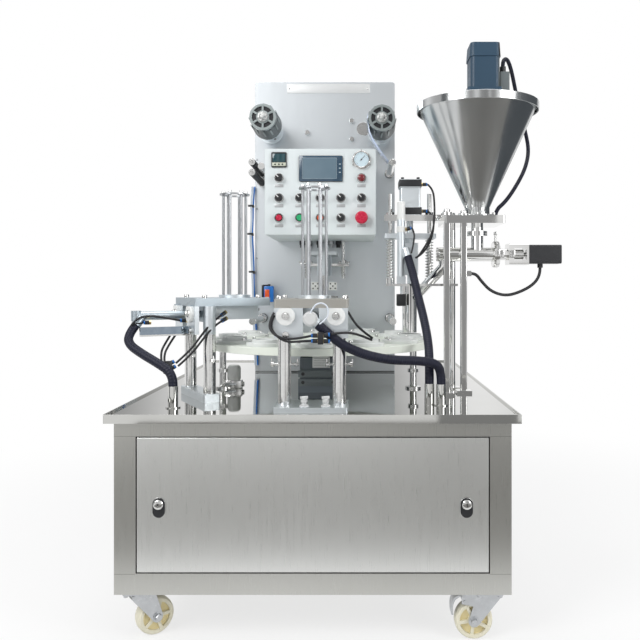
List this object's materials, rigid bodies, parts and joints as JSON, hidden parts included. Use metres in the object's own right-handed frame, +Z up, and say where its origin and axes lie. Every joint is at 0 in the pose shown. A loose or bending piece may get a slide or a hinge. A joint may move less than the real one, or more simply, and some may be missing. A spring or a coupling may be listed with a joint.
{
  "type": "coffee capsule filling machine",
  "caption": "Rotary machine on a wheeled cabinet that drops empty capsules into a dial of dies, fills them from a hopper by an auger, tamps, seals them with film and ejects them.",
  "frame": {"origin": "on the floor, midway between the outermost sides of the rigid machine", "axes": "+Z up, +Y from the front door to the back, +X to the right as seen from the front"},
  "size_m": [1.2318, 1.277, 1.625],
  "materials": {
    "steel": "brushed",
    "polished": "polished",
    "aluminium": "satin",
    "zinc": "satin",
    "pale_paint": "satin",
    "grey_paint": "satin",
    "black_plastic": "matte",
    "nylon": "matte",
    "screen": "gloss",
    "dial": "gloss",
    "red_plastic": "gloss",
    "green_plastic": "gloss",
    "orange_plastic": "gloss",
    "rubber": "matte",
    "spring_steel": "satin"
  },
  "bodies": {
    "machine": {"cabinet_frame": "steel", "work_tray": "polished", "back_board": "steel", "control_box": "pale_paint", "touch_screen": "screen", "temperature_controller": "black_plastic", "pressure_gauge": "dial", "switch_bezels": "polished", "film_spindles": "steel", "indexer_box": "grey_paint", "capsule_station_frame": "polished", "lid_station_frame": "polished", "capsule_magazines": "polished", "air_cylinders": "aluminium", "tower_frame": "polished", "tamper_springs": "spring_steel", "hopper": "polished", "hopper_lid": "polished", "agitator_motor": "grey_paint", "auger_tube": "polished", "servo_motor": "black_plastic", "left_hose": "rubber", "centre_hose": "rubber", "right_hose": "rubber", "agitator_hose": "rubber", "servo_cable": "rubber"},
    "door": {"front_door": "steel"},
    "left_lock": {"door_lock_left": "polished"},
    "right_lock": {"door_lock_right": "polished"},
    "left_castor": {"castor_fork_left": "zinc"},
    "right_castor": {"castor_fork_right": "zinc"},
    "front_left_wheel": {"castor_wheel_front_left": "nylon"},
    "front_right_wheel": {"castor_wheel_front_right": "nylon"},
    "rear_left_wheel": {"castor_wheel_rear_left": "nylon"},
    "rear_right_wheel": {"castor_wheel_rear_right": "nylon"},
    "brake": {"brake_pedal": "zinc"},
    "left_reel": {"film_reel_left": "aluminium"},
    "right_reel": {"film_reel_right": "aluminium"},
    "drive_roller": {"film_drive_roller": "rubber"},
    "pinch_roller": {"film_pinch_roller": "rubber"},
    "guide_roller": {"film_guide_roller": "polished"},
    "table": {"turntable": "aluminium", "capsule_dies": "nylon"},
    "capsule_slide": {"capsule_separator": "steel"},
    "lid_slide": {"lid_separator": "steel"},
    "tamper": {"tamper_carriage": "steel"},
    "sealer": {"heat_seal_head": "steel"},
    "stirrer": {"agitator": "steel"},
    "screw": {"auger_screw": "steel"},
    "stop_button": {"emergency_stop": "red_plastic"},
    "selector_top_left": {"selector_top_left": "black_plastic"},
    "selector_middle_1": {"selector_middle_1": "black_plastic"},
    "selector_middle_2": {"selector_middle_2": "black_plastic"},
    "selector_middle_3": {"selector_middle_3": "black_plastic"},
    "selector_middle_4": {"selector_middle_4": "black_plastic"},
    "selector_middle_5": {"selector_middle_5": "black_plastic"},
    "selector_bottom": {"selector_bottom": "black_plastic"},
    "red_push": {"red_button": "red_plastic"},
    "green_push": {"green_button": "green_plastic"},
    "orange_push": {"orange_button": "orange_plastic"}
  },
  "joints": [
    {"name": "door_pull_off", "type": "slide", "parent": "machine", "child": "door", "axis": [0, -1, 0], "range_m": [0, 0.08]},
    {"name": "left_lock_turn", "type": "hinge", "parent": "door", "child": "left_lock", "pos_m": [-0.48, -0.6185, 0.347], "axis": [0, 1, 0], "range_deg": [0, 90]},
    {"name": "right_lock_turn", "type": "hinge", "parent": "door", "child": "right_lock", "pos_m": [0.27, -0.6185, 0.347], "axis": [0, 1, 0], "range_deg": [0, 90]},
    {"name": "left_castor_swivel", "type": "hinge", "parent": "machine", "child": "left_castor", "pos_m": [-0.539, -0.5705, 0.115], "axis": [0, 0, 1], "continuous": true},
    {"name": "right_castor_swivel", "type": "hinge", "parent": "machine", "child": "right_castor", "pos_m": [0.329, -0.5705, 0.115], "axis": [0, 0, 1], "continuous": true},
    {"name": "front_left_wheel_spin", "type": "hinge", "parent": "left_castor", "child": "front_left_wheel", "pos_m": [-0.51063, -0.54834, 0.0475], "axis": [0.6157, -0.788, 0], "continuous": true},
    {"name": "front_right_wheel_spin", "type": "hinge", "parent": "right_castor", "child": "front_right_wheel", "pos_m": [0.293, -0.5705, 0.0475], "axis": [0, 1, 0], "continuous": true},
    {"name": "rear_left_wheel_spin", "type": "hinge", "parent": "machine", "child": "rear_left_wheel", "pos_m": [-0.539, 0.5705, 0.0475], "axis": [1, 0, 0], "continuous": true},
    {"name": "rear_right_wheel_spin", "type": "hinge", "parent": "machine", "child": "rear_right_wheel", "pos_m": [0.329, 0.5705, 0.0475], "axis": [1, 0, 0], "continuous": true},
    {"name": "brake_pedal_tilt", "type": "hinge", "parent": "right_castor", "child": "brake", "pos_m": [0.269, -0.5705, 0.098], "axis": [0, 1, 0], "range_deg": [0, 12]},
    {"name": "selector_top_left_turn", "type": "hinge", "parent": "machine", "child": "selector_top_left", "pos_m": [-0.2445, -0.1015, 1.219], "axis": [0, 1, 0], "range_deg": [0, 90]},
    {"name": "selector_middle_1_turn", "type": "hinge", "parent": "machine", "child": "selector_middle_1", "pos_m": [-0.2445, -0.1015, 1.156], "axis": [0, 1, 0], "range_deg": [0, 90]},
    {"name": "selector_middle_2_turn", "type": "hinge", "parent": "machine", "child": "selector_middle_2", "pos_m": [-0.1795, -0.1015, 1.156], "axis": [0, 1, 0], "range_deg": [0, 90]},
    {"name": "selector_middle_3_turn", "type": "hinge", "parent": "machine", "child": "selector_middle_3", "pos_m": [-0.1145, -0.1015, 1.156], "axis": [0, 1, 0], "range_deg": [0, 90]},
    {"name": "selector_middle_4_turn", "type": "hinge", "parent": "machine", "child": "selector_middle_4", "pos_m": [-0.0495, -0.1015, 1.156], "axis": [0, 1, 0], "range_deg": [0, 90]},
    {"name": "selector_middle_5_turn", "type": "hinge", "parent": "machine", "child": "selector_middle_5", "pos_m": [0.0155, -0.1015, 1.156], "axis": [0, 1, 0], "range_deg": [0, 90]},
    {"name": "selector_bottom_turn", "type": "hinge", "parent": "machine", "child": "selector_bottom", "pos_m": [-0.0495, -0.1015, 1.093], "axis": [0, 1, 0], "range_deg": [0, 90]},
    {"name": "red_button_press", "type": "slide", "parent": "machine", "child": "red_push", "axis": [0, 1, 0], "range_m": [0, 0.004], "stiffness_N_per_m": 600, "springref_m": -0.003},
    {"name": "green_button_press", "type": "slide", "parent": "machine", "child": "green_push", "axis": [0, 1, 0], "range_m": [0, 0.004], "stiffness_N_per_m": 600, "springref_m": -0.003},
    {"name": "orange_button_press", "type": "slide", "parent": "machine", "child": "orange_push", "axis": [0, 1, 0], "range_m": [0, 0.004], "stiffness_N_per_m": 600, "springref_m": -0.003},
    {"name": "emergency_stop_press", "type": "slide", "parent": "machine", "child": "stop_button", "axis": [0, 1, 0], "range_m": [0, 0.005]},
    {"name": "left_reel_spin", "type": "hinge", "parent": "machine", "child": "left_reel", "pos_m": [-0.309, 0, 1.434], "axis": [0, 1, 0], "continuous": true},
    {"name": "right_reel_spin", "type": "hinge", "parent": "machine", "child": "right_reel", "pos_m": [0.083, 0, 1.431], "axis": [0, 1, 0], "continuous": true},
    {"name": "drive_roller_spin", "type": "hinge", "parent": "machine", "child": "drive_roller", "pos_m": [-0.343, 0, 1.285], "axis": [0, 1, 0], "continuous": true},
    {"name": "pinch_roller_spin", "type": "hinge", "parent": "machine", "child": "pinch_roller", "pos_m": [-0.343, 0, 1.251], "axis": [0, 1, 0], "continuous": true},
    {"name": "guide_roller_spin", "type": "hinge", "parent": "machine", "child": "guide_roller", "pos_m": [0.117, 0, 1.284], "axis": [0, 1, 0], "continuous": true},
    {"name": "table_index", "type": "hinge", "parent": "machine", "child": "table", "pos_m": [-0.113, -0.1415, 0.713], "axis": [0, 0, 1], "continuous": true},
    {"name": "capsule_slide_stroke", "type": "slide", "parent": "machine", "child": "capsule_slide", "axis": [0, -1, 0], "range_m": [-0.02, 0]},
    {"name": "lid_slide_stroke", "type": "slide", "parent": "machine", "child": "lid_slide", "axis": [-0.866, -0.5, 0], "range_m": [-0.02, 0]},
    {"name": "tamper_stroke", "type": "slide", "parent": "machine", "child": "tamper", "axis": [0, 0, -1], "range_m": [0, 0.019], "stiffness_N_per_m": 2500, "springref_m": -0.025, "deforming": ["tamper_springs"]},
    {"name": "sealing_stroke", "type": "slide", "parent": "machine", "child": "sealer", "axis": [0, 0, -1], "range_m": [0, 0.028], "stiffness_N_per_m": 1500, "springref_m": -0.03},
    {"name": "agitator_spin", "type": "hinge", "parent": "machine", "child": "stirrer", "pos_m": [0.363, -0.2085, 1.25], "axis": [0, 0, 1], "continuous": true},
    {"name": "auger_spin", "type": "hinge", "parent": "machine", "child": "screw", "pos_m": [0.4, -0.2085, 0.973], "axis": [1, 0, 0], "continuous": true}
  ],
  "couplings": [
    {"joint": "pinch_roller_spin", "follows": "drive_roller_spin", "ratio": -1}
  ]
}
